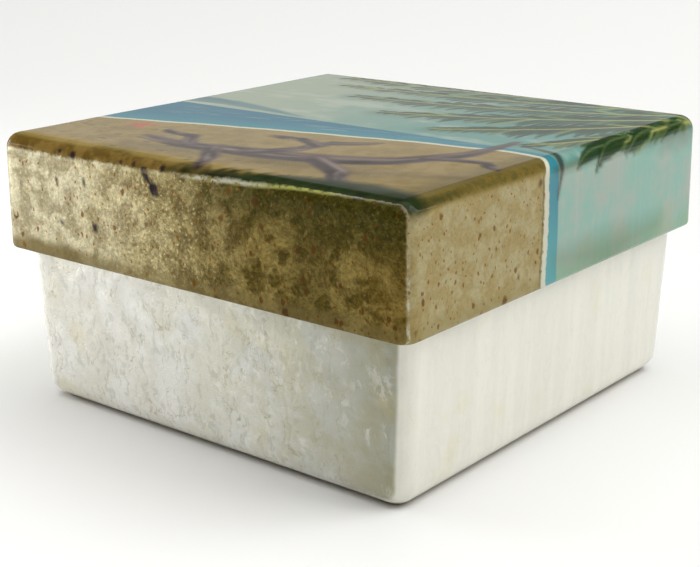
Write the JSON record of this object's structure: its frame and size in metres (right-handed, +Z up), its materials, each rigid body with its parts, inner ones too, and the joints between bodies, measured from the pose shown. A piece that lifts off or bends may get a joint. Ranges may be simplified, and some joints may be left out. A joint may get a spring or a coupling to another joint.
{
  "type": "shell box",
  "caption": "Small square keepsake box of lacquered shell with rounded edges, drafted walls and a deep-skirted lift-off lid painted in sand, sea and leaf colours.",
  "frame": {"origin": "middle of the underside of the box", "axes": "+Z up, -Y towards the front, which is the sand-coloured side, +X towards the side that the sea band crosses"},
  "size_m": [0.102, 0.102, 0.056],
  "materials": {
    "bare_shell": "pearly white shell laminate under gloss lacquer",
    "painted_shell": "painted shell laminate, sand with rust flecks, sea blue and pale green, under gloss lacquer"
  },
  "bodies": {
    "root": {"box": "bare_shell", "lid": "painted_shell"}
  },
  "joints": []
}
